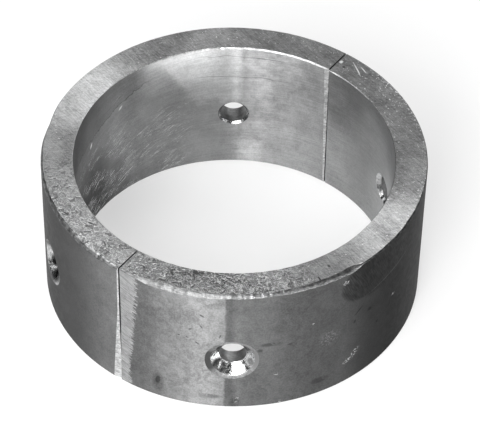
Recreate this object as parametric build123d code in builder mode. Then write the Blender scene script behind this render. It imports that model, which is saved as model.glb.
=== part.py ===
"""Split collar anode: two cast zinc half-rings that close round a drive leg or a shaft housing.

The bore axis is +Z and the foot of the collar stands on z = 0. The collar is parted beside the
YZ plane: right_half lies on +X and left_half on -X, and the seams are at the front (-Y) and the
back (+Y). Each half takes two countersunk screws that enter from outside. Millimetres, degrees.
"""

import os
from math import cos, radians, sin, sqrt, tan

from build123d import *

# Collar
bore_diameter = 100.0
wall_thickness = 10.0  # at the top, where the drafted wall is thickest
collar_height = 50.0
outer_draft = 1.0  # the outer wall narrows towards the foot by this angle

# Edges broken by hand
rim_bevel = 0.8  # outer edge of the top face
foot_bevel = 0.4  # both edges of the foot
right_bore_bevel = 0.3  # bore edge of the top face, right half
left_bore_bevel = 0.85  # bore edge of the top face, left half

# Parting
seam_gap = 0.4
seam_offset = 0.5  # the cut misses the bore axis by this much, towards the right half
seam_bevel = 0.8  # back inner corner of the left half

# Flat filed on the right half beside the front seam, widest at the top
filed_top_width = 6.3
filed_foot_width = 3.1
filed_depth = 0.3  # at the seam

# Bevel on the left half beside the front seam, widest at the foot
dressed_top_width = 0.4
dressed_foot_width = 3.0
dressed_depth = 1.1  # at the seam

# Screw holes
screw_diameter = 8.0
screw_clearance = 0.2  # all round the screw
screw_height = 21.5
screw_seam_angle = 36.0  # from each seam, about the bore axis
sink_angle = 90.0
sink_depth = 3.3  # from the outer wall to where the cone runs out in the hole
sink_lip_width = 1.1  # soft edge round the countersink, along the wall
sink_lip_depth = 0.4  # the same edge, along the cone
mouth_chamfer = 1.0  # where the hole opens into the bore

bore_radius = bore_diameter / 2
rim_radius = bore_radius + wall_thickness
foot_radius = rim_radius - collar_height * tan(radians(outer_draft))
hole_radius = screw_diameter / 2 + screw_clearance
root_radius = foot_radius + (rim_radius - foot_radius) * screw_height / collar_height - sink_depth
overlap = 1.0  # how far a cutter runs past the surface it cuts


def cast_ring(side, bore_bevel):
    """Revolve the whole collar, starting on the side that the other half takes up."""
    with BuildSketch(Plane.XZ) as wall:
        with BuildLine():
            Polyline(
                (-side * (bore_radius + foot_bevel), 0),
                (-side * (foot_radius - foot_bevel), 0),
                (-side * foot_radius, foot_bevel),
                (-side * rim_radius, collar_height - rim_bevel),
                (-side * (rim_radius - rim_bevel), collar_height),
                (-side * (bore_radius + bore_bevel), collar_height),
                (-side * bore_radius, collar_height - bore_bevel),
                (-side * bore_radius, foot_bevel),
                close=True,
            )
        make_face()
    revolve(wall.sketch, axis=Axis.Z)


def screw_holes(side):
    """Cut the two countersunk holes of one half with a cutter turned about each screw's line."""
    for seam_side in (-1, 1):
        angle = radians(screw_seam_angle)
        outward = Vector(side * sin(angle), seam_side * cos(angle), 0)
        line = Axis((0, 0, screw_height), outward)
        reach = rim_radius + overlap
        with BuildSketch(Plane(line.position, x_dir=outward, z_dir=(0, 0, 1))) as cutter:
            with BuildLine():
                Polyline(
                    (bore_radius - overlap, 0),
                    (bore_radius - overlap, hole_radius + mouth_chamfer + overlap),
                    (bore_radius + mouth_chamfer, hole_radius),
                    (root_radius, hole_radius),
                    (reach, hole_radius + (reach - root_radius) * tan(radians(sink_angle / 2))),
                    (reach, 0),
                    close=True,
                )
            make_face()
        revolve(cutter.sketch, axis=line, mode=Mode.SUBTRACT)


def part_at_seam(side):
    """Keep one side of the parting plane, less half of the seam's gap."""
    seam = Plane.YZ.offset(seam_offset + side * seam_gap / 2)
    split(bisect_by=seam, keep=Keep.TOP if side > 0 else Keep.BOTTOM)


def soften_countersinks(half):
    """Run a soft lip round the mouths of the countersinks, along the curved wall."""
    wall = half.faces().sort_by(SortBy.AREA)[-1]
    mouths = half.edges().filter_by(GeomType.BSPLINE).sort_by_distance((0, 0, screw_height))[-2:]
    chamfer(mouths, length=sink_lip_width, length2=sink_lip_depth, reference=wall)


def dress_front_corner(side, top_width, foot_width, depth):
    """Plane the outer corner beside the front seam; depth is at the seam where the cut is widest."""
    seam = seam_offset + side * seam_gap / 2
    top_edge = seam + side * top_width
    foot_edge = seam + side * foot_width
    top = Vector(top_edge, -sqrt(rim_radius**2 - top_edge**2), collar_height)
    foot = Vector(foot_edge, -sqrt(foot_radius**2 - foot_edge**2), 0)
    if top_width > foot_width:
        corner = Vector(seam, depth - rim_radius, collar_height)
    else:
        corner = Vector(seam, depth - foot_radius, 0)
    normal = (top - foot).cross(corner - foot)
    cut = Plane(origin=corner, z_dir=normal)
    split(bisect_by=cut, keep=Keep.TOP if normal.Y > 0 else Keep.BOTTOM)


with BuildPart() as right_half:
    cast_ring(1, right_bore_bevel)
    screw_holes(1)
    part_at_seam(1)
    soften_countersinks(right_half)
    dress_front_corner(1, filed_top_width, filed_foot_width, filed_depth)

with BuildPart() as left_half:
    cast_ring(-1, left_bore_bevel)
    screw_holes(-1)
    part_at_seam(-1)
    soften_countersinks(left_half)
    dress_front_corner(-1, dressed_top_width, dressed_foot_width, dressed_depth)
    back_corner = left_half.edges().filter_by(Axis.Z).sort_by(Axis.Y)[-1]
    chamfer(back_corner, seam_bevel)

os.makedirs("parts", exist_ok=True)
for name, half in {"right_half": right_half, "left_half": left_half}.items():
    half.part.label = name
    export_step(half.part, f"parts/{name}.step")
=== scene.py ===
import math

import bmesh
import bpy
from mathutils import Matrix, Vector, noise


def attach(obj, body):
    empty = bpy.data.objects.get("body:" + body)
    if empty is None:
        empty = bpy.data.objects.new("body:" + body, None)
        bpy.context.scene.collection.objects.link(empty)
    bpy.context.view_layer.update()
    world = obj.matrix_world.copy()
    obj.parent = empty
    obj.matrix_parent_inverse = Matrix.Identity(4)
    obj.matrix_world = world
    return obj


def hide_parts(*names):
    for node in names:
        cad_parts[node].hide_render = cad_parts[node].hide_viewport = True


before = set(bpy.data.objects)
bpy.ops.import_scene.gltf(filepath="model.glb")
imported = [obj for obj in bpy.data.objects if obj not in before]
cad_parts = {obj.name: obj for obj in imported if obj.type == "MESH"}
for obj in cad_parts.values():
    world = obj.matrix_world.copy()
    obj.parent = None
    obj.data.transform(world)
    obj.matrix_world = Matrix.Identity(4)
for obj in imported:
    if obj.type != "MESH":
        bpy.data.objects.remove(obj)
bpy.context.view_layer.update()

MM = 0.001
BORE = 50 * MM  # radius
RIM = 60 * MM  # radius of the outer wall at the top
MIDDLE = 55 * MM  # radius half way through the wall
HEIGHT = 50 * MM
DRAFT = math.tan(math.radians(1.0))
FOOT_BEVEL = 0.4 * MM
RIM_BEVEL = 0.8 * MM  # as spun; cast_and_file gives every place its own width
BORE_BEVEL = 0.5 * MM
SEAM_AT = 0.5 * MM  # the cut misses the bore's axis by this much
SEAM_GAP = 0.4 * MM
FRONT = Vector((0, -1, 0))

# A flat filed on the rim of the left half: its middle and half its reach in degrees
FLAT_BEARING = 292
FLAT_REACH = 8
FLAT_FOOT = 34 * MM
FLAT_DEPTH = 0.55 * MM

SCREW_HEIGHT = 21.5 * MM
HOLE = 4.2 * MM  # radius
SINK_ROOT = 56.2 * MM  # from the bore's axis to where the cone meets the hole
SINK_MOUTH = 7 * MM  # radius of the cone as turned; turn_sink fits it to the curved wall
SINK_FACETS = 96
LIP_FROM = 6.7 * MM  # beyond this radius a face that looks out is lip
LIP_SURE = 7.05 * MM  # and beyond this one every face
CRISP = math.radians(24)  # edges sharper than this stay crisp

# One stroke of the file: along it, across it and through it
FILE_STROKE = (2.2 * MM, 0.3 * MM, 1 * MM)
CORNER_STROKE = (1.6 * MM, 0.3 * MM, 1 * MM)

WELD = 1e-7
SLIGHT = 0.001 * MM  # closer than this is on a surface, or one point

# Surfaces, numbered as zinc_finishes lists their materials
(OUTER, BORED, SAWN, RIM_FILED, BORE_FILED, FOOT,
 SEAM_CUT, DRESSED, TURNED, DRILLED, LIP) = range(11)


def wall_radius(height):
    """The drafted outer wall, widest at the top."""
    return RIM - (HEIGHT - height) * DRAFT


def on_wall(across, height):
    """The point of the front wall that lies this far across the seam's plane."""
    return Vector((across, -math.sqrt(wall_radius(height) ** 2 - across ** 2), height))


def bearing(point):
    """Degrees round the bore, from the front seam past the right half."""
    return math.degrees(math.atan2(point.x, -point.y)) % 360


def along_table(table, degrees):
    """Reads a width between the bearings of a table."""
    degrees %= 360
    for (start, low), (end, high) in zip(table, table[1:]):
        if start <= degrees <= end:
            share = (degrees - start) / (end - start)
            share = share * share * (3 - 2 * share)
            return low + (high - low) * share
    raise ValueError(degrees)


def wander(degrees, radius, grain, seed):
    """Smooth noise along a rim, from -1 to 1."""
    turn = math.radians(degrees)
    return noise.noise(Vector((
        math.cos(turn) * radius / grain, math.sin(turn) * radius / grain, seed
    )))


# Bearing and width in millimetres of the filed rims
RIM_WIDTHS = (
    (0, 0.45), (6, 0.7), (11, 1.35), (20, 1.45), (28, 1.35), (38, 1.1), (48, 1.0), (62, 1.2),
    (73, 1.5), (77, 0.35), (84, 0.5), (98, 0.55), (108, 0.4), (125, 0.3), (150, 0.25),
    (180, 0.3), (240, 0.2), (270, 0.2), (288, 0.25), (305, 0.6), (330, 1.05), (352, 1.2),
    (357, 0.9), (360, 0.9),
)
BORE_WIDTHS = (
    (0, 0.2), (90, 0.2), (150, 0.24), (176, 0.26), (179.6, 0.12), (179.7, 0.4), (200, 0.4),
    (215, 0.4), (232, 0.38), (246, 0.3), (275, 0.12), (360, 0.2),
)


def rim_width(degrees):
    """Width of the bevel filed round the top's outside."""
    width = along_table(RIM_WIDTHS, degrees)
    return MM * max(0.12, width + 0.24 * min(1, width) * wander(degrees, RIM, 2.2 * MM, 3.1)
                    + 0.13 * width * wander(degrees, RIM, 0.8 * MM, 7.7))


def bore_width(degrees):
    """Width of the bevel filed round the top's inside."""
    width = along_table(BORE_WIDTHS, degrees)
    return MM * max(0.08, width + 0.08 * wander(degrees, BORE, 2.4 * MM, 5.2)
                    + 0.06 * wander(degrees, BORE, 0.9 * MM, 9.4))


# The wall's section: corners, and the cuts made in the side that starts at each
SECTION = (
    (BORE + FOOT_BEVEL, 0, 11),
    (RIM - HEIGHT * DRAFT - FOOT_BEVEL, 0, 1),
    (RIM - HEIGHT * DRAFT, FOOT_BEVEL, 75),
    (RIM, HEIGHT - RIM_BEVEL, 3),
    (RIM - RIM_BEVEL, HEIGHT, 23),
    (BORE + BORE_BEVEL, HEIGHT, 2),
    (BORE, HEIGHT - BORE_BEVEL, 70),
    (BORE, FOOT_BEVEL, 1),
)


def spin_half(first, runs):
    """Sweeps the wall's section round the bore; runs are degrees and their columns."""
    bm = bmesh.new()
    corners = [bm.verts.new((radius, 0, height)) for radius, height, _ in SECTION]
    sides = [bm.edges.new(ends) for ends in zip(corners, corners[1:] + corners[:1])]
    for side, (_, _, cuts) in zip(sides, SECTION):
        bmesh.ops.subdivide_edges(bm, edges=[side], cuts=cuts)
    turn = Matrix.Rotation(math.radians(first - 90), 3, "Z")
    bmesh.ops.rotate(bm, verts=bm.verts, cent=(0, 0, 0), matrix=turn)
    edge_of_metal = bm.verts[:] + bm.edges[:]
    for degrees, columns in runs:
        made = bmesh.ops.spin(
            bm, geom=edge_of_metal, cent=(0, 0, 0), axis=(0, 0, 1),
            angle=math.radians(degrees), steps=columns,
        )
        edge_of_metal = made["geom_last"]
    return bm


def name_surfaces(bm):
    """Gives every face its surface, and a wrap map in metres: round it, and up or across."""
    wrap = bm.loops.layers.uv.new("wrap")
    for face in bm.faces:
        middle = face.calc_center_median()
        radius, height = math.hypot(middle.x, middle.y), middle.z
        if height < SLIGHT:
            surface = FOOT
        elif height < HEIGHT - SLIGHT and radius > MIDDLE:
            surface = RIM_FILED if height > HEIGHT - RIM_BEVEL else OUTER
        elif height > HEIGHT - SLIGHT:
            surface = SAWN
        else:
            surface = BORE_FILED if height > HEIGHT - BORE_BEVEL else BORED
        face.material_index = surface
        middle_turn = math.radians(bearing(middle))
        for loop in face.loops:
            point = loop.vert.co
            turn = math.radians(bearing(point))
            if turn - middle_turn > math.pi:
                turn -= 2 * math.pi
            if middle_turn - turn > math.pi:
                turn += 2 * math.pi
            across = point.z if surface in (OUTER, BORED) else math.hypot(point.x, point.y)
            loop[wrap].uv = (turn * (RIM if surface == OUTER else BORE), across)


def cast_and_file(bm):
    """Moves the spun points to the real, slightly uneven surfaces."""
    for vert in bm.verts:
        degrees = bearing(vert.co)
        radius, height = math.hypot(vert.co.x, vert.co.y), vert.co.z
        out = Vector((vert.co.x / radius, vert.co.y / radius, 0))
        rim, lip = rim_width(degrees), bore_width(degrees)
        outside = radius > MIDDLE and height < HEIGHT - SLIGHT
        if height <= FOOT_BEVEL + SLIGHT:
            pass
        elif outside or radius > RIM - RIM_BEVEL - SLIGHT:
            if height < HEIGHT - RIM_BEVEL - SLIGHT:
                height *= (HEIGHT - rim) / (HEIGHT - RIM_BEVEL)
                radius = wall_radius(height)
            else:
                share = (height - HEIGHT + RIM_BEVEL) / RIM_BEVEL
                height = HEIGHT - rim * (1 - share)
                radius = wall_radius(HEIGHT - rim) * (1 - share) + (RIM - rim) * share
                radius += 0.09 * rim * math.sin(math.pi * share)
        elif height > HEIGHT - SLIGHT:
            share = (radius - BORE - BORE_BEVEL) / (RIM - RIM_BEVEL - BORE - BORE_BEVEL)
            radius = BORE + lip + (RIM - rim - BORE - lip) * share
        elif height > HEIGHT - BORE_BEVEL - SLIGHT:
            share = (height - HEIGHT + BORE_BEVEL) / BORE_BEVEL
            height = HEIGHT - lip * (1 - share)
            radius = BORE + lip * share
        else:
            height *= (HEIGHT - lip) / (HEIGHT - BORE_BEVEL)
        if radius > MIDDLE:
            flat = max(0, 1 - abs(degrees - FLAT_BEARING) / FLAT_REACH)
            flat *= max(0, height - FLAT_FOOT) / (HEIGHT - FLAT_FOOT)
            radius -= FLAT_DEPTH * flat
        point = out * radius + Vector((0, 0, height))
        # lumps, ripples and grain of the casting, half as strong in the bore
        uneven = 0.045 * noise.noise(point / (15 * MM)) + 0.007 * noise.noise(point / (3.2 * MM))
        uneven += 0.0025 * noise.noise(point / (1.1 * MM))
        if radius > BORE + 3 * MM:
            point += out * uneven * MM
        else:
            point += out * 0.5 * uneven * MM
        if height > HEIGHT - SLIGHT:
            pits = noise.noise(point / (1.7 * MM)) + 0.6 * noise.noise(point / (0.7 * MM))
            point.z -= MM * (0.012 + 0.016 * pits + 0.02 * noise.noise(point / (9 * MM)))
        vert.co = point


def part_at_seam(bm, side):
    """Cuts the half back to its side of the seams, a little raggedly and not quite upright."""
    plane = SEAM_AT + side * SEAM_GAP / 2
    cut = bmesh.ops.bisect_plane(
        bm, geom=bm.verts[:] + bm.edges[:] + bm.faces[:], dist=WELD,
        plane_co=(plane, 0, 0), plane_no=(-side, 0, 0), clear_outer=True,
    )["geom_cut"]
    for vert in (piece for piece in cut if isinstance(piece, bmesh.types.BMVert)):
        ragged = 0.06 * noise.noise(vert.co / (2.5 * MM)) + 0.05 * noise.noise(vert.co / (0.6 * MM))
        if side > 0:
            low = 1 - vert.co.z / HEIGHT
            if vert.co.y > 0:
                ragged += 0.1 + 0.85 * low  # the back seam gapes at the foot
            else:
                ragged += 0.3 * math.sin(math.pi * min(1, low * 1.15))
        vert.co.x += MM * ragged


def dress_corner(bm, near, reach, points, surface=None):
    """Planes a seam corner flat: what stands proud of the plane slides back on to it."""
    origin, second, third = points
    normal = (second - origin).cross(third - origin).normalized()
    if normal.dot(FRONT) < 0:
        normal.negate()
    faces = [face for face in bm.faces if (face.calc_center_median() - near).xy.length < reach]
    edges = {edge for face in faces for edge in face.edges}
    verts = {vert for face in faces for vert in face.verts}
    bmesh.ops.bisect_plane(
        bm, geom=list(verts) + list(edges) + faces, dist=WELD, plane_co=origin, plane_no=normal
    )
    proud = set()
    for vert in bm.verts:
        if (vert.co - near).xy.length < reach:
            above = (vert.co - origin).dot(normal)
            if above > -WELD:
                proud.add(vert)
                vert.co -= FRONT * (above / normal.dot(FRONT))
    if surface is not None:
        for face in bm.faces:
            if face.material_index != FOOT and proud.issuperset(face.verts):
                face.material_index = surface


def turn_sink(degrees, lip_reach, lip_depth, relief, lip_aside=0, root=SINK_ROOT):
    """The turned tool of one screw hole: bore, cone and a soft lip that follows the wall.

    The lip is moved aside along the wall, root is where the cone meets the hole, and relief is
    the chamfer where the hole opens into the bore.
    """
    bm = bmesh.new()
    under, top = BORE - 1.6 * MM, RIM + 2 * MM
    cone_top = root + SINK_MOUTH - HOLE
    rings = (  # radius, height and the cuts made in the side that starts here
        (0, under, 8),
        (HOLE + relief + 1.6 * MM, under, 1),
        (HOLE + relief, BORE, 3),
        (HOLE, BORE + relief, 12),
        (HOLE, root, 8),
        (SINK_MOUTH, cone_top, 4),
        (lip_reach, cone_top + 0.4 * MM, 1),
        (lip_reach + 0.7 * MM, RIM, 1),
        (lip_reach + 0.7 * MM, top, 8),
        (0, top, 0),
    )
    profile = [bm.verts.new((radius, 0, height)) for radius, height, _ in rings]
    sides = [bm.edges.new(ends) for ends in zip(profile, profile[1:])]
    for side, (_, _, cuts) in zip(sides, rings):
        bmesh.ops.subdivide_edges(bm, edges=[side], cuts=cuts)
    bmesh.ops.spin(
        bm, geom=bm.verts[:] + bm.edges[:], cent=(0, 0, 0), axis=(0, 0, 1),
        angle=2 * math.pi, steps=SINK_FACETS, use_merge=True,
    )
    bmesh.ops.remove_doubles(bm, verts=bm.verts, dist=WELD)
    outward = Vector((math.sin(math.radians(degrees)), -math.cos(math.radians(degrees)), 0))
    aside = Vector((0, 0, 1)).cross(outward)

    def wall_over(across, up):
        return math.sqrt(wall_radius(SCREW_HEIGHT + up) ** 2 - across ** 2)

    for vert in bm.verts:
        radius, height = math.hypot(vert.co.x, vert.co.y), vert.co.z
        if radius > SLIGHT:
            cosine, sine = vert.co.x / radius, vert.co.y / radius
        else:
            cosine, sine = 1, 0
        if root + WELD < height < top - WELD and radius > HOLE + WELD:
            mouth = SINK_MOUTH
            for _ in range(4):
                mouth = HOLE + wall_over(mouth * cosine, mouth * sine) - lip_depth - root
            reach = lip_reach - lip_aside * cosine
            if height < cone_top + WELD and radius < SINK_MOUTH + WELD:
                share = (radius - HOLE) / (SINK_MOUTH - HOLE)
                radius = HOLE + (mouth - HOLE) * share
                height = root + radius - HOLE
            else:
                share = (radius - SINK_MOUTH) / (lip_reach - SINK_MOUTH)
                radius = mouth + (reach - mouth) * share
                height = wall_over(radius * cosine, radius * sine) - lip_depth * (1 - share)
                if share <= 1.001:
                    height += 0.16 * lip_depth * math.sin(math.pi * share)
                else:
                    height += 0.1 * lip_depth
        vert.co = (outward * height + aside * radius * cosine
                   + Vector((0, 0, SCREW_HEIGHT + radius * sine)))
    bmesh.ops.recalc_face_normals(bm, faces=bm.faces)
    wrap = bm.loops.layers.uv.new("wrap")
    centre = Vector((0, 0, SCREW_HEIGHT))
    for face in bm.faces:
        middle = face.calc_center_median() - centre
        height = middle.dot(outward)
        radius = (middle - outward * height).length
        if radius < HOLE + 0.01 * MM and height > BORE + relief:
            face.material_index = DRILLED
        elif height > MIDDLE and radius > LIP_FROM and (
                radius > LIP_SURE or face.normal.dot(outward) < -0.8):
            face.material_index = LIP
        else:
            face.material_index = TURNED
        for loop in face.loops:
            point = loop.vert.co - centre
            height = point.dot(outward)
            loop[wrap].uv = ((point - outward * height).length, height)
    mesh = bpy.data.meshes.new("sink_tool")
    bm.to_mesh(mesh)
    bm.free()
    return mesh


def finish_half(name, bm, tools, materials):
    """Bores the holes, keeps sharp edges crisp and hands over the piece."""
    mesh = bpy.data.meshes.new(name + "_cast")
    bm.to_mesh(mesh)
    bm.free()
    for material in materials:
        mesh.materials.append(material)
    blank = bpy.data.objects.new(name + "_blank", mesh)
    both_tools = bmesh.new()
    for tool in tools:
        both_tools.from_mesh(tool)
    cutter_mesh = bpy.data.meshes.new("sink_tools")
    both_tools.to_mesh(cutter_mesh)
    both_tools.free()
    for material in materials:
        cutter_mesh.materials.append(material)
    cutter = bpy.data.objects.new("sink_tools", cutter_mesh)
    for tool in (blank, cutter):
        bpy.context.collection.objects.link(tool)
    holes = blank.modifiers.new("holes", "BOOLEAN")
    holes.operation = "DIFFERENCE"
    holes.solver = "EXACT"
    holes.object = cutter
    depsgraph = bpy.context.evaluated_depsgraph_get()
    bored = bpy.data.meshes.new_from_object(blank.evaluated_get(depsgraph), depsgraph=depsgraph)
    for tool in (blank, cutter):
        bpy.data.objects.remove(tool)
    bm = bmesh.new()
    bm.from_mesh(bored)
    bmesh.ops.remove_doubles(bm, verts=bm.verts, dist=2 * SLIGHT)
    bmesh.ops.dissolve_degenerate(bm, edges=bm.edges, dist=SLIGHT)
    for face in bm.faces:
        face.smooth = True
    for edge in bm.edges:
        if len(edge.link_faces) == 2:
            edge.smooth = edge.calc_face_angle() < CRISP
    bm.to_mesh(bored)
    bm.free()
    bored.name = name
    half = bpy.data.objects.new(name, bored)
    bpy.context.collection.objects.link(half)
    return half


CAMERA_AZIMUTH = math.radians(35.3)
CAMERA_ELEVATION = math.radians(44.9)
CAMERA_ROLL = math.radians(1.085)
CAMERA_DISTANCE = 1.2
CAMERA_LENS = 286.2
CAMERA_ASIDE = 0.0021  # the collar's middle lies this far left of the frame's middle
CAMERA_ABOVE = 0.00044
BOX_DISTANCE = 1.2


def aim_camera():
    """A long lens, looking down on the collar's middle."""
    azimuth, elevation = CAMERA_AZIMUTH, CAMERA_ELEVATION
    right = Vector((math.cos(azimuth), math.sin(azimuth), 0))
    back = Vector((
        math.sin(azimuth) * math.cos(elevation),
        -math.cos(azimuth) * math.cos(elevation),
        math.sin(elevation),
    ))
    up = back.cross(right)
    middle = Vector((0, 0, HEIGHT / 2))
    data = bpy.data.cameras.new("camera")
    data.lens = CAMERA_LENS
    data.clip_start = 0.1
    data.clip_end = 20
    camera = bpy.data.objects.new("camera", data)
    turn = Matrix((right, up, back)).transposed() @ Matrix.Rotation(CAMERA_ROLL, 3, "Z")
    camera.matrix_world = Matrix.Translation(
        middle + back * CAMERA_DISTANCE + right * CAMERA_ASIDE + up * CAMERA_ABOVE
    ) @ turn.to_4x4()
    bpy.context.collection.objects.link(camera)
    bpy.context.scene.camera = camera


def soft_box(name, bearings, heights, strength):
    """A soft box 1.2 m away; bearings run from the camera's, positive to its right."""
    (left, right), (low, high) = bearings, heights
    turn = CAMERA_AZIMUTH + math.radians((left + right) / 2)
    lift = math.radians((low + high) / 2)
    place = BOX_DISTANCE * Vector((
        math.sin(turn) * math.cos(lift), -math.cos(turn) * math.cos(lift), math.sin(lift)
    ))
    data = bpy.data.lights.new(name, "AREA")
    data.shape = "RECTANGLE"
    data.size = 2 * BOX_DISTANCE * math.cos(lift) * math.tan(math.radians(right - left) / 2)
    data.size_y = 2 * BOX_DISTANCE * math.tan(math.radians(high - low) / 2)
    data.energy = strength * 4 * math.pi * data.size * data.size_y
    box = bpy.data.objects.new(name, data)
    box.location = place
    box.rotation_mode = "QUATERNION"
    box.rotation_quaternion = place.to_track_quat("Z", "Y")
    bpy.context.collection.objects.link(box)


# Bearings and heights in degrees, and strength
SOFT_BOXES = (
    ("key_box", (-24, -3.5), (13, 50), 4.0),
    ("side_key_box", (-44, -24), (16, 50), 1.7),
    ("left_box", (-86, -44), (18, 50), 0.75),
    ("high_box", (-90, -42), (54, 76), 1.2),
    ("low_front_box", (-42, -3.5), (2, 12), 1.4),
    ("low_right_box", (-3.5, 16), (2, 12), 3.2),
    ("low_side_box", (16, 62), (2, 12), 4.4),
    ("right_box", (8, 50), (14, 30), 0.3),
    ("back_box", (165, 215), (30, 70), 0.27),
    ("face_box", (118, 146), (38, 58), 2.0),
)


def light_studio():
    """Soft boxes all round, and a faint even light."""
    world = bpy.data.worlds.new("studio")
    bpy.context.scene.world = world
    world.use_nodes = True
    back = world.node_tree.nodes["Background"]
    back.inputs["Color"].default_value = (1, 1, 1, 1)
    back.inputs["Strength"].default_value = 0.04
    for name, bearings, heights, strength in SOFT_BOXES:
        soft_box(name, bearings, heights, strength)


def lay_floor():
    """Pale paper under the collar."""
    mesh = bpy.data.meshes.new("floor")
    bm = bmesh.new()
    bmesh.ops.create_grid(bm, x_segments=1, y_segments=1, size=3)
    bm.to_mesh(mesh)
    bm.free()
    floor = bpy.data.objects.new("floor", mesh)
    bpy.context.collection.objects.link(floor)
    material = bpy.data.materials.new("floor_paper")
    material.use_nodes = True
    tree = material.node_tree
    paper = tree.nodes["Principled BSDF"]
    paper.inputs["Base Color"].default_value = (0.9, 0.9, 0.9, 1)
    # seen or mirrored, the paper is part white backdrop, and keeps the shadows
    ray = tree.nodes.new("ShaderNodeLightPath")
    seen = ray.outputs["Is Camera Ray"]
    for kind in ("Is Glossy Ray", "Is Transmission Ray"):
        either = tree.nodes.new("ShaderNodeMath")
        either.operation = "MAXIMUM"
        tree.links.new(seen, either.inputs[0])
        tree.links.new(ray.outputs[kind], either.inputs[1])
        seen = either.outputs[0]
    share = tree.nodes.new("ShaderNodeMath")
    share.operation = "MULTIPLY"
    share.inputs[1].default_value = 0.55
    tree.links.new(seen, share.inputs[0])
    white = tree.nodes.new("ShaderNodeEmission")
    both = tree.nodes.new("ShaderNodeMixShader")
    tree.links.new(share.outputs[0], both.inputs[0])
    tree.links.new(paper.outputs[0], both.inputs[1])
    tree.links.new(white.outputs[0], both.inputs[2])
    tree.links.new(both.outputs[0], tree.nodes["Material Output"].inputs["Surface"])
    mesh.materials.append(material)


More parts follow.
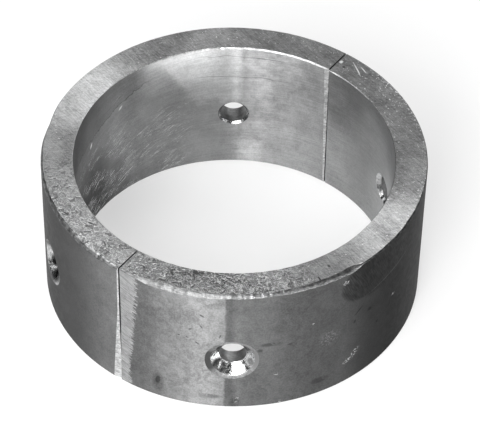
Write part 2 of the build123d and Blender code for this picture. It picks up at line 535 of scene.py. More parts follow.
class Finish:
    """One metal finish, wired node by node on to its shader.

    On the wrap map, along runs in metres round the bore or the rim from the front seam, and up
    runs in metres up a wall, or out from the bore's axis on the top.
    """

    def __init__(self, name, roughness, anisotropy=0.0):
        self.material = bpy.data.materials.new(name)
        self.material.use_nodes = True
        self.nodes = self.material.node_tree.nodes
        self.links = self.material.node_tree.links
        self.shader = self.nodes["Principled BSDF"]
        self.shader.inputs["Metallic"].default_value = 1.0
        self.shader.inputs["Roughness"].default_value = roughness
        self.place = self.nodes.new("ShaderNodeTexCoord").outputs["Object"]
        wrap = self.nodes.new("ShaderNodeUVMap")
        wrap.uv_map = "wrap"
        self.wrap = wrap.outputs["UV"]
        split = self.node("SeparateXYZ", {"Vector": self.wrap})
        self.along, self.up = split.outputs["X"], split.outputs["Y"]
        if anisotropy:
            self.shader.inputs["Anisotropic"].default_value = anisotropy
            self.shader.inputs["Anisotropic Rotation"].default_value = 0.25
            lay = self.nodes.new("ShaderNodeTangent")
            lay.direction_type = "RADIAL"
            lay.axis = "Z"
            self.links.new(lay.outputs[0], self.shader.inputs["Tangent"])

    def node(self, kind, inputs, **settings):
        """A node with its inputs set or linked, and its settings."""
        node = self.nodes.new("ShaderNode" + kind)
        for name, value in settings.items():
            setattr(node, name, value)
        for name, value in inputs.items():
            if isinstance(value, bpy.types.NodeSocket):
                self.links.new(value, node.inputs[name])
            else:
                node.inputs[name].default_value = value
        return node

    def sum(self, operation, *values):
        """One step of arithmetic on values or sockets."""
        return self.node("Math", dict(enumerate(values)), operation=operation).outputs[0]

    def plus(self, value, more):
        return self.sum("ADD", value, more)

    def minus(self, value, less):
        return self.sum("SUBTRACT", value, less)

    def times(self, value, *shares):
        for share in shares:
            value = self.sum("MULTIPLY", value, share)
        return value

    def most(self, value, other):
        return self.sum("MAXIMUM", value, other)

    def grain(self, size, detail=2.0, roughness=0.5, seed=0.0, source=None, turn=0.0,
              distortion=0.0):
        """Noise from 0 to 1; size is one grain in metres, or three for a stretched one."""
        sizes = size if isinstance(size, tuple) else (size, size, size)
        if turn:
            source = self.node("VectorRotate", {
                "Vector": source or self.place, "Angle": math.radians(turn),
            }, rotation_type="Z_AXIS").outputs[0]
        placed = self.node("Mapping", {
            "Vector": source or self.place, "Location": (seed, seed * 0.7, seed * 1.3),
            "Scale": tuple(1 / length for length in sizes),
        })
        return self.node("TexNoise", {
            "Vector": placed.outputs[0], "Scale": 1.0, "Detail": detail, "Roughness": roughness,
            "Distortion": distortion,
        }).outputs[0]

    def ramp(self, value, start, end, low=0.0, high=1.0):
        """Reads value between start and end as low to high, with soft ends."""
        return self.node("MapRange", {
            "Value": value, "From Min": start, "From Max": end, "To Min": low, "To Max": high,
        }, interpolation_type="SMOOTHSTEP").outputs[0]

    def spread(self, noise, low, high):
        """Noise, which seldom leaves 0.3 to 0.7, as low to high."""
        return self.ramp(noise, 0.3, 0.7, low, high)

    def shade(self, value, mask, share):
        """The value times share where the mask is 1."""
        return self.times(value, self.ramp(mask, 0.0, 1.0, 1.0, share))

    def round_table(self, radius, *stops):
        """A value that changes round the collar; stops are bearings and values."""
        share = self.sum("DIVIDE", self.along, 2 * math.pi * radius)
        node = self.nodes.new("ShaderNodeValToRGB")
        self.links.new(share, node.inputs[0])
        most = max(value for _, value in stops)
        marks = node.color_ramp.elements
        marks.remove(marks[1])
        for degrees, value in stops:
            mark = marks.new(degrees / 360) if degrees else marks[0]
            mark.color = (value / most, value / most, value / most, 1)
        return self.sum("MULTIPLY", node.outputs[0], most)

    def between(self, share, low, high):
        """Mixes two values or sockets."""
        return self.node("Mix", {"Factor": share, "A": low, "B": high}).outputs[0]

    def spot(self, degrees, height, length, tall, soft=0.35, turn=0.0, radius=RIM):
        """1 inside an oval on the wrap map, 0 outside; sizes in millimetres from its middle."""
        placed = self.node("Mapping", {
            "Vector": self.wrap, "Location": (-math.radians(degrees) * radius, -height * MM, 0),
        }).outputs[0]
        if turn:
            placed = self.node("VectorRotate", {
                "Vector": placed, "Angle": math.radians(turn),
            }, rotation_type="Z_AXIS").outputs[0]
        scaled = self.node("VectorMath", {
            0: placed, 1: (1 / (length * MM), 1 / (tall * MM), 1),
        }, operation="MULTIPLY").outputs[0]
        reach = self.node("VectorMath", {0: scaled}, operation="LENGTH").outputs["Value"]
        return self.ramp(reach, 1 + soft, 1 - soft)

    def blot(self, degrees, across, out, up, size, soft=0.35):
        """1 inside a ball near a screw hole, 0 outside; millimetres, seen from outside the hole."""
        turn = math.radians(degrees)
        middle = Vector((
            math.sin(turn) * out + math.cos(turn) * across,
            -math.cos(turn) * out + math.sin(turn) * across, up,
        )) * MM
        reach = self.node("VectorMath", {0: self.place, 1: middle}, operation="DISTANCE")
        return self.ramp(reach.outputs["Value"], size * MM * (1 + soft), size * MM * (1 - soft))

    def colour(self, tone):
        """Grey with the faint blue of zinc."""
        mix = self.node("CombineColor", {
            "Red": self.times(tone, 0.992), "Green": tone,
            "Blue": self.times(tone, 1.004),
        })
        self.links.new(mix.outputs[0], self.shader.inputs["Base Color"])

    def rough(self, value):
        """A roughness that varies."""
        self.links.new(value, self.shader.inputs["Roughness"])

    def relief(self, *layers):
        """Stacks bumps; each layer is a height from 0 to 1 and its depth in metres."""
        normal = None
        for height, depth in layers:
            bump = self.node("Bump", {"Height": height, "Distance": depth, "Strength": 1.0})
            if normal:
                self.links.new(normal, bump.inputs["Normal"])
            normal = bump.outputs[0]
        self.links.new(normal, self.shader.inputs["Normal"])


def cast_wall():
    """The outer wall, with painted light and shade round it, the filed strip beside the seam and a
    dark oval under the rim.
    """
    finish = Finish("cast_wall", 0.4, 1.0)
    cloud = finish.grain(13 * MM, 3, 0.55, 4.0)
    mottle = finish.grain(2.2 * MM, 3, 0.6, 9.0, distortion=0.8)
    dust = finish.grain(0.5 * MM, 2, 0.6, 2.0)
    specks = finish.ramp(finish.grain(0.6 * MM, 2, 0.6, 33.0), 0.5, 0.62)
    tone = finish.plus(finish.spread(cloud, 0.185, 0.235), finish.spread(mottle, -0.026, 0.026))
    tone = finish.plus(tone, finish.spread(dust, -0.03, 0.03))
    # painted light and shade round the collar, set bearing by bearing: brightest behind and up to
    # 33°, darkest from 83° to 120°
    tone = finish.times(tone, finish.round_table(
        RIM, (0, 0.63), (11, 0.61), (19, 0.7), (27, 0.76), (33, 0.8), (40, 0.56), (44, 0.53),
        (51, 0.38), (59, 0.31), (67, 0.27), (75, 0.34), (83, 0.22), (91, 0.14), (99, 0.115),
        (112, 0.13), (120, 0.24), (134, 0.6), (150, 0.85), (210, 0.95), (285, 0.8), (300, 0.42),
        (315, 0.21), (323, 0.22), (331, 0.32), (339, 0.48), (347, 0.6), (355, 0.86), (360, 0.92),
    ))
    # painted highlight edge: the bright band beside the filed strip ends at a faint upright edge,
    # with painted shade in a strip just past it
    sway = finish.ramp(finish.grain((3 * MM, 4 * MM, 1 * MM), 2, 0.5, 45.0, source=finish.wrap),
                       0.3, 0.7, -0.25 * MM, 0.25 * MM)
    edge = finish.minus(finish.along, finish.plus(sway, math.radians(33.7) * RIM))
    tone = finish.times(tone, finish.ramp(edge, -0.4 * MM, 0.4 * MM, 1.0, 0.55))
    tone = finish.times(tone, finish.ramp(edge, 1.4 * MM, 4.6 * MM, 1.0, 1.8))
    # comma-shaped nicks
    scuff = finish.grain((0.9 * MM, 0.35 * MM, 0.9 * MM), 2, 0.5, 6.0, source=finish.wrap, turn=35,
                         distortion=1.6)
    nick = finish.times(finish.ramp(scuff, 0.7, 0.74),
                        finish.ramp(finish.grain(6 * MM, 1, 0.5, 17.0), 0.5, 0.58))
    for degrees, height, length, tall, turn in (
        (26.9, 41, 0.9, 0.3, 35), (23.4, 34.4, 0.6, 0.26, -30), (26.7, 36.1, 0.7, 0.24, 60),
        (32.2, 32.4, 0.8, 0.24, -70), (25.5, 28.6, 0.9, 0.24, 40), (22.5, 30.5, 0.5, 0.22, 20),
        (13.3, 7.6, 0.8, 1.6, 10), (20.0, 31.0, 0.4, 0.25, 0), (74.7, 25.8, 0.5, 0.7, 15),
        (84.3, 18.6, 0.5, 0.5, 0), (76.0, 29.5, 1.8, 0.35, -32), (80.5, 27.0, 0.9, 0.7, 10),
    ):
        mark = finish.spot(degrees, height, length, tall, 0.4, turn)
        nick = finish.most(nick, mark)
    nick = finish.times(nick, finish.ramp(dust, 0.3, 0.5, 0.45, 1.0))
    tone = finish.shade(tone, nick, 0.4)
    # a very dark oval under the rim, with slanted strokes across it
    spot = finish.spot(84, 43.5, 15.5, 10.0, 0.05, turn=-4)
    strokes = finish.grain((0.35 * MM, 4.5 * MM, 1 * MM), 3, 0.6, 3.0, source=finish.wrap, turn=-24)
    oval_tone = finish.ramp(strokes, 0.3, 0.75, 0.018, 0.05)
    tone = finish.between(spot, tone, oval_tone)
    rise = finish.spot(91.0, 36.2, 11.5, 0.22, 0.6, -9)
    tone = finish.between(finish.times(rise, 0.6), tone, 0.12)
    # pale knocks, broken up by specks
    for degrees, height, length, tall, turn in (
        (74.0, 10.4, 3.0, 1.0, -30), (75.3, 12.0, 1.6, 0.6, -30), (70.6, 46.0, 1.0, 0.8, 0),
        (92.0, 24.5, 0.9, 0.4, 0), (37.3, 3.4, 0.7, 1.2, 10),
        (50.5, 1.2, 0.6, 0.5, 0), (49.0, 14.0, 0.6, 0.4, 0), (60.0, 33.0, 0.5, 0.35, 0),
    ):
        knock = finish.times(finish.spot(degrees, height, length, tall, 0.6, turn), specks)
        tone = finish.between(knock, tone, 0.5)
    bloom = finish.times(finish.spot(65.7, 24.1, 3.0, 2.6, 0.8), specks)
    tone = finish.between(bloom, tone, 0.13)
    # dark stains
    for degrees, height, length, tall in (
        (13.3, 6.5, 1.9, 4.5), (47.0, 27.8, 3.6, 0.8), (44.0, 25.5, 0.9, 0.8),
        (53.0, 26.6, 0.8, 0.5), (29.5, 4.8, 3.4, 1.0), (63.0, 6.0, 3.0, 1.4), (37.0, 2.0, 1.6, 2.6),
    ):
        stain_and_shade = finish.spot(degrees, height, length, tall, 0.6)
        stain_and_shade = finish.times(stain_and_shade, finish.ramp(mottle, 0.35, 0.55, 0.25, 0.9))
        tone = finish.shade(tone, stain_and_shade, 0.5)
    # filed strip: slanted strokes with a ragged edge
    stroke = finish.grain((5.0 * MM, 0.22 * MM, 1 * MM), 3, 0.65, 8.0, source=finish.wrap, turn=16)
    ragged = finish.grain((3.2 * MM, 0.42 * MM, 1 * MM), 2, 0.6, 5.0, source=finish.wrap, turn=16)
    edge = finish.ramp(finish.up, 0.0, HEIGHT, 3.9 * MM, 6.9 * MM)
    edge = finish.plus(edge, finish.ramp(ragged, 0.25, 0.75, -1.1 * MM, 1.1 * MM))
    filed = finish.ramp(finish.minus(edge, finish.along), -0.1 * MM, 0.15 * MM)
    filed_tone = finish.times(finish.spread(stroke, 0.22, 0.42),
                              finish.ramp(mottle, 0.3, 0.6, 0.8, 1.08))
    tone = finish.between(filed, tone, filed_tone)
    finish.colour(tone)
    rough = finish.plus(finish.spread(mottle, 0.35, 0.43), finish.times(filed, 0.08))
    finish.rough(finish.plus(rough, finish.round_table(
        RIM, (0, 0), (75, 0), (92, 0.09), (125, 0.09), (150, 0), (360, 0))))
    relief = finish.between(filed, finish.times(mottle, 0.3), stroke)
    finish.relief((relief, 0.10 * MM), (finish.minus(dust, nick), 0.007 * MM))
    return finish.material


def bored_wall():
    """The inside, turned by the mould's core, with scratches low on the left half."""
    finish = Finish("bored_wall", 0.38, 1.0)
    cloud = finish.grain(11 * MM, 3, 0.55, 14.0)
    mottle = finish.grain(2.4 * MM, 3, 0.6, 19.0, distortion=0.5)
    dust = finish.grain(0.5 * MM, 2, 0.6, 12.0)
    rings = finish.grain((12 * MM, 0.4 * MM, 1 * MM), 3, 0.6, 1.0, source=finish.wrap, turn=5)
    tone = finish.plus(finish.spread(cloud, 0.36, 0.44), finish.spread(mottle, -0.03, 0.03))
    tone = finish.plus(tone, finish.spread(rings, -0.034, 0.034))
    tone = finish.plus(tone, finish.spread(dust, -0.035, 0.035))
    # painted light and shade round the bore, set bearing by bearing
    tone = finish.times(tone, finish.round_table(
        BORE, (0, 0.9), (140, 0.98), (151, 0.9), (163, 0.98), (175, 0.84), (187, 0.82),
        (199, 0.66), (208, 0.55), (213.8, 0.6), (214.6, 0.74), (227, 0.98), (239, 0.84),
        (251, 0.88), (263, 0.78), (275, 0.52), (287, 0.4), (300, 0.42), (330, 0.6), (360, 0.7),
    ))
    # darker below and towards the left, broken up by noise
    low_blotches = finish.grain((6 * MM, 9 * MM, 1 * MM), 3, 0.6, 24.0, source=finish.wrap)
    low = finish.ramp(finish.up, 0.032, 0.0, 0.0, 1.0)
    left = finish.ramp(finish.along, 0.198, 0.24, 0.0, 1.0)
    low_left_darkening = finish.times(low, left, finish.ramp(low_blotches, 0.25, 0.6, 0.4, 1.0))
    tone = finish.shade(tone, low_left_darkening, 0.5)
    deep = finish.times(finish.ramp(finish.up, 0.04, 0.012),
                        finish.ramp(finish.along, 0.226, 0.246))
    tone = finish.shade(tone, deep, 0.36)
    # painted shade: darker high up from 156° to the back seam, a little lighter elsewhere
    high = finish.times(finish.ramp(finish.up, 0.020, 0.037), finish.round_table(
        BORE, (0, 0), (156, 0), (170, 1), (178.9, 1), (179.4, 0), (360, 0)))
    tone = finish.times(tone, finish.ramp(high, 0.0, 1.0, 1.06, 0.64))
    # lighter low down from 204° to 214°
    patch = finish.times(finish.ramp(finish.up, 0.012, 0.006), finish.round_table(
        BORE, (0, 0), (204, 0), (207, 1), (214, 1), (214.5, 0), (360, 0)))
    tone = finish.shade(tone, patch, 1.45)
    # painted reflection: brighter high on the left of the back seam
    painted_reflection = finish.ramp(finish.along, 0.172, 0.2, 0.027, 0.0275)
    painted_reflection = finish.plus(painted_reflection, finish.ramp(finish.along, 0.199, 0.214, 0.0, 0.018))
    painted_reflection = finish.plus(painted_reflection, finish.spread(mottle, -1.5 * MM, 1.5 * MM))
    painted_reflection = finish.minus(finish.up, painted_reflection)
    painted_reflection = finish.times(finish.ramp(painted_reflection, -3.5 * MM, 3.5 * MM),
                          finish.ramp(finish.along, 0.1845, 0.1872),
                          finish.ramp(finish.along, 0.222, 0.208))
    tone = finish.shade(tone, painted_reflection, 1.55)
    # darker from 14 mm to 46 mm up, between 182° and 214°
    dim = finish.times(finish.ramp(finish.up, 0.014, 0.022), finish.ramp(finish.up, 0.046, 0.038),
                       finish.round_table(BORE, (0, 0), (182, 0), (190, 1), (213.5, 1),
                                          (214.4, 0), (360, 0)))
    tone = finish.shade(tone, dim, 0.84)
    # step left by the core, and the darker wall above it
    step = finish.plus(finish.ramp(finish.along, 0.205, 0.250, 0.0445, 0.0350),
                       finish.spread(mottle, -0.5 * MM, 0.5 * MM))
    over = finish.minus(finish.up, step)
    side = finish.ramp(finish.along, 0.214, 0.222)
    above = finish.times(finish.ramp(over, -0.15 * MM, 0.15 * MM), side)
    tone = finish.shade(tone, above, 0.84)
    line = finish.times(finish.ramp(over, -0.35 * MM, 0.0), finish.ramp(over, 0.35 * MM, 0.0), side)
    tone = finish.shade(tone, line, 0.45)
    # two fine turned lines at the back
    for height, start, end, seed in ((46.6, 0.168, 0.204, 31.0), (37.8, 0.166, 0.205, 37.0)):
        sway = finish.grain((9 * MM, 9 * MM, 1 * MM), 2, 0.5, seed, source=finish.wrap)
        level = finish.spread(sway, (height - 0.5) * MM, (height + 0.5) * MM)
        gap = finish.sum("ABSOLUTE", finish.minus(finish.up, level))
        groove = finish.times(finish.ramp(gap, 0.22 * MM, 0.05 * MM),
                              finish.ramp(finish.along, start, start + 0.008),
                              finish.ramp(finish.along, end, end - 0.01),
                              finish.ramp(dust, 0.3, 0.5, 0.5, 1.0))
        tone = finish.shade(tone, groove, 0.62)
    # pale scratches, in patches low on the left
    scratch = finish.grain((6.0 * MM, 0.4 * MM, 1 * MM), 2, 0.6, 41.0, source=finish.wrap, turn=27,
                           distortion=2.0)
    patch = finish.ramp(finish.grain((9 * MM, 6 * MM, 1 * MM), 2, 0.5, 44.0, source=finish.wrap),
                        0.4, 0.55)
    patch = finish.times(patch, finish.ramp(finish.up, 0.036, 0.024))
    for degrees, height, length, tall, turn in (
        (262, 9, 9.0, 3.0, 0), (247, 14, 5.0, 2.4, -30), (241, 24, 3.6, 1.6, -50),
        (277, 5, 4.0, 3.0, 0), (236, 8, 5.0, 1.6, 10), (263, 42, 2.2, 1.2, 30),
    ):
        patch = finish.most(patch, finish.spot(degrees, height, length, tall, 0.6, turn, BORE))
    scratch = finish.times(finish.ramp(scratch, 0.55, 0.65), patch,
                           finish.ramp(dust, 0.35, 0.55, 0.3, 1.0),
                           finish.ramp(finish.along, 0.198, 0.207))
    tone = finish.between(finish.times(scratch, 0.9), tone, 0.9)
    for degrees, height, length, turn in ((280.6, 33.2, 1.0, 60), (262.3, 37.6, 0.9, 40)):
        knock = finish.spot(degrees, height, length, 0.4, 0.5, turn, BORE)
        tone = finish.between(knock, tone, 0.8)
    finish.colour(tone)
    finish.rough(finish.spread(mottle, 0.34, 0.42))
    finish.relief((mottle, 0.03 * MM), (rings, 0.018 * MM), (dust, 0.006 * MM))
    return finish.material


def sawn_face():
    """The top, faced round and then pocked: coarse crystals at the front, finer at the back."""
    finish = Finish("sawn_face", 0.34, 0.85)
    cloud = finish.grain(8 * MM, 3, 0.55, 54.0)
    coarse = finish.grain(2.3 * MM, 1, 0.5, 59.0, distortion=1.2)
    veins = finish.grain(1.8 * MM, 1, 0.5, 73.0, distortion=1.7)
    fine = finish.grain(0.75 * MM, 2, 0.6, 52.0, distortion=0.8)
    dust = finish.grain(0.4 * MM, 1, 0.6, 57.0)
    sawn = finish.grain((3.4 * MM, 0.34 * MM, 1 * MM), 3, 0.6, 62.0, turn=15, distortion=0.4)
    cross = finish.grain((2.6 * MM, 0.36 * MM, 1 * MM), 2, 0.6, 66.0, turn=-48, distortion=0.4)

    def arc(start, full, end_full, end):
        """1 between two bearings, fading out to the outer two."""
        turn = [math.radians(degrees) * BORE for degrees in (start, full, end_full, end)]
        return finish.times(finish.ramp(finish.along, turn[0], turn[1]),
                            finish.ramp(finish.along, turn[3], turn[2]))

    def ridge(source, width):
        """Thin crests where the noise crosses its middle."""
        off = finish.sum("ABSOLUTE", finish.minus(source, 0.5))
        return finish.ramp(off, width, width * 0.2)

    crystals = finish.most(arc(-2, 2, 48, 70), arc(296, 322, 362, 365))
    tone = finish.plus(finish.spread(cloud, 0.3, 0.44),
                       finish.ramp(fine, 0.32, 0.68, -0.045, 0.045))
    brushed = finish.plus(finish.ramp(sawn, 0.32, 0.68, -0.07, 0.07),
                          finish.ramp(cross, 0.32, 0.68, -0.05, 0.05))
    tone = finish.plus(tone, finish.shade(brushed, crystals, 0.35))
    tone = finish.plus(tone, finish.spread(dust, -0.03, 0.03))
    # painted sheen and shade round the top, set bearing by bearing: brightest from 255° to 285° and
    # 75° to 95°
    tone = finish.times(tone, finish.round_table(
        BORE, (0, 1.1), (15, 0.68), (25, 0.56), (35, 0.47), (48, 0.58), (55, 0.72), (75, 1.12),
        (95, 1.08), (115, 0.78), (135, 0.84), (155, 0.46), (175, 0.66), (195, 0.84), (215, 0.66),
        (235, 0.76), (255, 1.15), (265, 1.45), (275, 1.5), (285, 1.2), (295, 1.0), (315, 1.05),
        (335, 0.76), (355, 1.05), (360, 1.12),
    ))
    # painted highlights on the crystals' crests and painted shade in their pits
    crest = finish.most(ridge(coarse, 0.05), ridge(veins, 0.045))
    crest = finish.times(crest, crystals, finish.ramp(fine, 0.36, 0.56, 0.15, 1.0))
    pit = finish.times(finish.ramp(coarse, 0.44, 0.36), crystals)
    tone = finish.shade(tone, pit, 0.55)
    tone = finish.between(finish.times(crest, 0.85), tone, 0.66)
    # painted glints: bright specks, thickest along the right rim's outside, and bright hairlines
    glint = finish.ramp(finish.grain(0.6 * MM, 1, 0.5, 71.0), 0.7, 0.76)
    rim_glints = finish.times(finish.ramp(finish.grain(0.7 * MM, 2, 0.6, 78.0), 0.58, 0.64),
                         arc(86, 100, 160, 176), finish.ramp(finish.up, 57.5 * MM, 59.2 * MM))
    hairline_glints = finish.grain((3.2 * MM, 0.24 * MM, 1 * MM), 2, 0.5, 75.0, turn=32, distortion=0.7)
    hairline_glints = finish.times(finish.ramp(hairline_glints, 0.66, 0.74), finish.ramp(cloud, 0.42, 0.55))
    glint = finish.most(finish.most(glint, rim_glints), finish.times(hairline_glints, 0.8))
    tone = finish.between(glint, tone, 0.8)
    # marks of handling: nicks in the edge, a scratch and two bright chips
    for degrees, across, length, tall, turn, shade in (
        (353.1, 59.9, 0.4, 0.5, 0, 0.9), (347.1, 59.2, 0.45, 0.4, 20, 0.9),
        (332.4, 57.4, 1.2, 0.22, 35, 0.08), (331.4, 59.2, 0.6, 0.25, 0, 0.85),
        (62.3, 58.6, 0.22, 1.1, 0, 0.07), (67.5, 55.2, 0.35, 0.6, 0, 0.12),
        (76.1, 59.3, 0.7, 0.35, 0, 0.95), (178.4, 55.5, 0.5, 0.6, 0, 0.95),
        (172.1, 56.0, 2.6, 0.2, -28, 0.8), (170.6, 57.2, 1.4, 0.18, -14, 0.75),
        (176.2, 54.2, 0.5, 0.4, 0, 0.1), (340.0, 53.0, 0.8, 0.4, 30, 0.1),
    ):
        mark = finish.spot(degrees, across, length, tall, 0.4, turn, BORE)
        tone = finish.between(mark, tone, shade)
    finish.colour(tone)
    finish.rough(finish.minus(finish.spread(fine, 0.33, 0.45), finish.times(crystals, 0.05)))
    deep = finish.times(finish.ramp(crystals, 0.0, 1.0, 0.15, 1.0),
                        finish.ramp(finish.along, 0.15, 0.2, 1.0, 0.6))
    brushed = finish.shade(brushed, crystals, 0.15)
    finish.relief((finish.times(coarse, deep), 0.38 * MM), (crest, 0.08 * MM),
                  (brushed, 0.09 * MM), (fine, 0.03 * MM), (dust, 0.012 * MM))
    return finish.material


def filed_edge(name, tones, lay, turn=0.0, bearings=(), burrs_and_highlight=0.0):
    """Bright metal broken by a file; bearings give the tone's share round the collar."""
    finish = Finish(name, 0.36)
    stroke = finish.grain(lay, 3, 0.65, 83.0, source=finish.wrap, turn=turn)
    dust = finish.grain(0.5 * MM, 2, 0.6, 88.0)
    patchy = finish.grain(1.3 * MM, 3, 0.6, 81.0, distortion=0.8)
    tone = finish.plus(finish.spread(stroke, *tones), finish.spread(dust, -0.06, 0.06))
    tone = finish.times(tone, finish.ramp(patchy, 0.35, 0.6, 0.7, 1.12))
    if bearings:
        tone = finish.times(tone, finish.round_table(BORE, *bearings))
    # painted highlight: a thin bright line along the top edge of the rim bevel, from 326° to 346°
    if burrs_and_highlight:
        line = finish.times(finish.ramp(finish.up, RIM - 0.5 * MM, RIM - 0.66 * MM),
                            finish.ramp(finish.grain(1.2 * MM, 2, 0.6, 85.0), 0.42, 0.52),
                            finish.ramp(finish.along, math.radians(326) * BORE,
                                        math.radians(346) * BORE))
        tone = finish.between(line, tone, burrs_and_highlight)
    finish.colour(tone)
    finish.rough(finish.spread(dust, 0.3, 0.44))
    finish.relief((patchy, 0.12 * MM), (stroke, 0.06 * MM), (dust, 0.014 * MM))
    return finish.material


def dull_metal(name, tones, roughness):
    """Undressed casting: the foot and the parted faces."""
    finish = Finish(name, roughness)
    cloud = finish.grain(7 * MM, 3, 0.6, 91.0)
    fine = finish.grain(0.8 * MM, 3, 0.6, 96.0)
    finish.colour(finish.plus(finish.spread(cloud, *tones), finish.spread(fine, -0.03, 0.03)))
    finish.rough(finish.spread(fine, roughness - 0.05, roughness + 0.08))
    finish.relief((cloud, 0.2 * MM), (fine, 0.05 * MM))
    return finish.material


def turned_sink():
    """Countersinks: bright, with the drill's rings, and blots of painted dark reflection and
    painted shade.
    """
    finish = Finish("turned_sink", 0.16)
    rings = finish.grain((0.11 * MM, 40 * MM, 1 * MM), 2, 0.5, 61.0, source=finish.wrap)
    chatter = finish.grain(1.1 * MM, 3, 0.6, 67.0, distortion=0.8)
    burrs_and_highlight = finish.ramp(finish.grain(0.7 * MM, 2, 0.6, 63.0), 0.6, 0.68)
    tone = finish.plus(finish.spread(chatter, 0.36, 0.6), finish.spread(rings, -0.06, 0.06))
    tone = finish.shade(tone, burrs_and_highlight, 0.5)
    # painted dark reflections on the cones' sides, and painted shade deep in the holes
    for degrees, across, out, up, size, shade in (
        (36, -4.3, 58.0, 17.6, 2.7, 0.03), (36, 5.2, 58.3, 19.6, 1.4, 0.2),
        (36, -3.6, 58.2, 24.5, 1.8, 0.2), (324, -3.6, 58.6, 26.8, 5.0, 0.035),
        (324, -3.6, 56.8, 18.4, 2.0, 0.03), (324, 1.5, 57.5, 17.5, 3.2, 0.03),
    ):
        stain_and_shade = finish.blot(degrees, across, out, up, size, 0.3)
        stain_and_shade = finish.times(stain_and_shade, finish.ramp(chatter, 0.3, 0.5, 0.7, 1.0))
        tone = finish.between(stain_and_shade, tone, shade)
    finish.colour(tone)
    finish.rough(finish.spread(chatter, 0.12, 0.26))
    finish.relief((chatter, 0.09 * MM), (rings, 0.005 * MM))
    return finish.material


def drilled_hole():
    """The screw holes, with the drill's rings."""
    finish = Finish("drilled_hole", 0.5)
    rings = finish.grain((40 * MM, 0.25 * MM, 1 * MM), 2, 0.5, 64.0, source=finish.wrap)
    chatter = finish.grain(1.0 * MM, 3, 0.6, 69.0)
    finish.colour(finish.plus(finish.spread(chatter, 0.2, 0.3), finish.spread(rings, -0.04, 0.04)))
    finish.rough(finish.spread(chatter, 0.46, 0.58))
    finish.relief((rings, 0.015 * MM), (chatter, 0.02 * MM))
    return finish.material


def softened_lip():
    """The worn lip round a countersink, with blots of painted shade, darkest on the side next the
    wall's bright band.
    """
    finish = Finish("softened_lip", 0.36)
    dust = finish.grain(0.5 * MM, 2, 0.6, 87.0)
    patchy = finish.grain(1.6 * MM, 3, 0.6, 82.0, distortion=0.8)
    tone = finish.plus(finish.spread(patchy, 0.17, 0.27), finish.spread(dust, -0.04, 0.04))
    # painted shade in blots on the lips
    for degrees, across, out, up, size, shade in (
        (36, -8.0, 58.8, 21.0, 4.6, 0.07), (36, 7.2, 58.8, 21.5, 3.6, 0.2),
        (324, 0, 58.5, 24.0, 6.5, 0.1),
    ):
        tone = finish.between(finish.blot(degrees, across, out, up, size, 0.25), tone, shade)
    finish.colour(tone)
    finish.rough(finish.spread(dust, 0.32, 0.42))
    finish.relief((patchy, 0.08 * MM), (dust, 0.012 * MM))
    return finish.material


def zinc_finishes():
    """In the order of the surface numbers."""
    return [
        cast_wall(),
        bored_wall(),
        sawn_face(),
        filed_edge("filed_rim", (0.34, 0.56), FILE_STROKE, burrs_and_highlight=0.4, bearings=(
            (0, 0.3), (14, 0.24), (33, 0.24), (42, 0.4), (74, 0.4), (80, 0.28), (180, 0.31),
            (285, 0.31), (298, 0.75), (326, 0.62), (344, 0.34), (360, 0.26),
        )),
        filed_edge("filed_bore_rim", (0.26, 0.46), FILE_STROKE, bearings=(
            (0, 1), (214, 1), (222, 2), (360, 2),
        )),
        dull_metal("foot_face", (0.16, 0.24), 0.45),
        dull_metal("parted_face", (0.05, 0.09), 0.5),
        filed_edge("dressed_corner", (0.4, 0.64), CORNER_STROKE, 12.0),
        turned_sink(),
        drilled_hole(),
        softened_lip(),
    ]


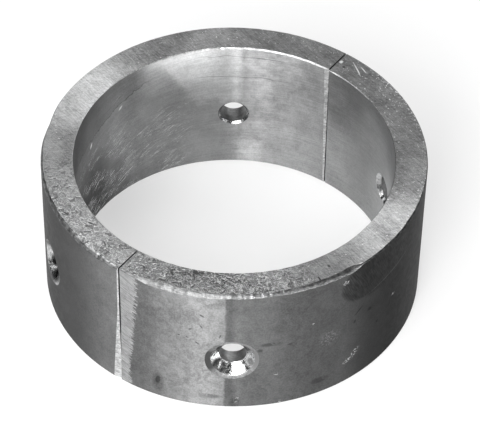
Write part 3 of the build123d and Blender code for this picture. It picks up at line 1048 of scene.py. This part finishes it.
def right_half(materials):
    """Two screw holes, and a flat beside the front seam that is widest at the top."""
    bm = spin_half(0.5, ((8.5, 32), (56, 150), (112, 140), (2.5, 10)))
    name_surfaces(bm)
    cast_and_file(bm)
    part_at_seam(bm, 1)
    edge = SEAM_AT + SEAM_GAP / 2
    dress_corner(bm, Vector((edge, -RIM, 0)), 9 * MM, (
        Vector((edge, 0.3 * MM - RIM, HEIGHT)),
        on_wall(edge + 6.3 * MM, HEIGHT),
        on_wall(edge + 3.1 * MM, 0),
    ))
    bmesh.ops.edgeloop_fill(bm, edges=[e for e in bm.edges if e.is_boundary], mat_nr=SEAM_CUT)
    bmesh.ops.recalc_face_normals(bm, faces=bm.faces)
    tools = (
        turn_sink(36, lip_reach=8.3 * MM, lip_depth=0.36 * MM, relief=1.7 * MM,
                  lip_aside=0.25 * MM),
        turn_sink(144, lip_reach=8.3 * MM, lip_depth=0.36 * MM, relief=1.0 * MM),
    )
    return finish_half("right_cast_half", bm, tools, materials)


def left_half(materials):
    """Two screw holes, a bevel beside the front seam that is widest at the foot, one inside."""
    bm = spin_half(179.0, ((3.5, 14), (168.5, 259), (9.5, 38)))
    name_surfaces(bm)
    cast_and_file(bm)
    part_at_seam(bm, -1)
    edge = SEAM_AT - SEAM_GAP / 2
    front, foot_wall = Vector((edge, -RIM, 0)), -wall_radius(0)
    dress_corner(bm, front, 6 * MM, (
        Vector((edge, 0.3 * MM + foot_wall, 0)),
        on_wall(edge - 0.4 * MM, HEIGHT),
        on_wall(edge - 0.55 * MM, 0),
    ), DRESSED)
    dress_corner(bm, front, 6 * MM, (
        Vector((edge, 0.95 * MM + foot_wall, 0)),
        Vector((edge, -wall_radius(38 * MM), 38 * MM)),
        on_wall(edge - 2.5 * MM, 0),
    ), DRESSED)
    dress_corner(bm, Vector((edge, BORE, 0)), 3 * MM, (
        Vector((edge - 1.3 * MM, BORE, HEIGHT)),
        Vector((edge, BORE + 0.7 * MM, HEIGHT)),
        Vector((edge - 0.4 * MM, BORE, 0)),
    ), DRESSED)
    bmesh.ops.edgeloop_fill(bm, edges=[e for e in bm.edges if e.is_boundary], mat_nr=SEAM_CUT)
    bmesh.ops.recalc_face_normals(bm, faces=bm.faces)
    tools = (
        turn_sink(216, lip_reach=8.3 * MM, lip_depth=0.36 * MM, relief=0.6 * MM,
                  root=SINK_ROOT + 0.5 * MM),
        turn_sink(324, lip_reach=7.5 * MM, lip_depth=0.1 * MM, relief=1.0 * MM),
    )
    return finish_half("left_cast_half", bm, tools, materials)


aim_camera()
light_studio()
lay_floor()
bpy.context.scene.view_settings.view_transform = "Standard"
finishes = zinc_finishes()
halves = {"right_half": right_half(finishes), "left_half": left_half(finishes)}
for node, half in halves.items():
    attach(half, "root")
    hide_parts(node)
